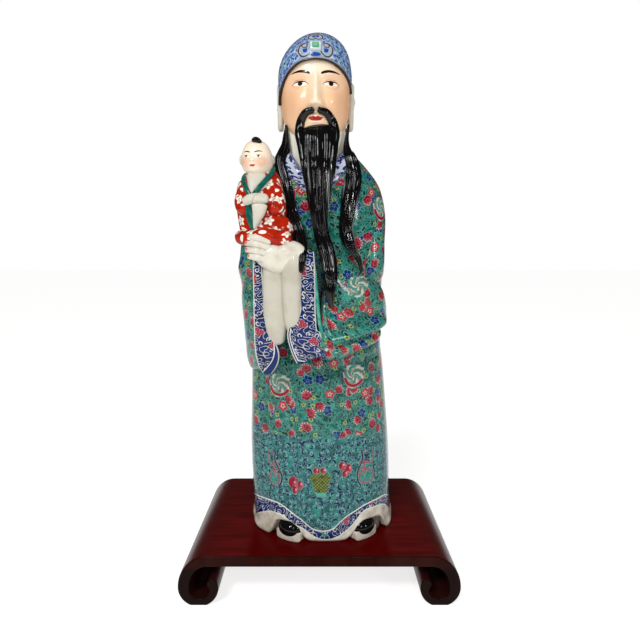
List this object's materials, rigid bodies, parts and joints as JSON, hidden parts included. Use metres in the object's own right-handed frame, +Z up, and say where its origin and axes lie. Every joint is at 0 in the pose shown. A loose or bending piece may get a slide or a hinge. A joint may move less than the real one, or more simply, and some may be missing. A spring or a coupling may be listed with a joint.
{
  "type": "porcelain figure",
  "caption": "Tall glazed porcelain figure of a robed, long-bearded elder in a cloth cap, cradling a small child above hanging sleeves, on a low wooden stand with scrolled ends.",
  "frame": {"origin": "on the ground, under the middle of the stand", "axes": "+Z up, the figure faces -Y, +X towards the viewer's right (the figure's own left)"},
  "size_m": [0.325, 0.196, 0.6512],
  "materials": {
    "porcelain": "glazed porcelain with painted enamels, mostly turquoise; stands in as gloss plastic because the list has no ceramic",
    "lacquered_wood": "dark red-brown gloss lacquer"
  },
  "bodies": {
    "root": {"porcelain_figure": "porcelain", "scroll_stand": "lacquered_wood"}
  },
  "joints": []
}
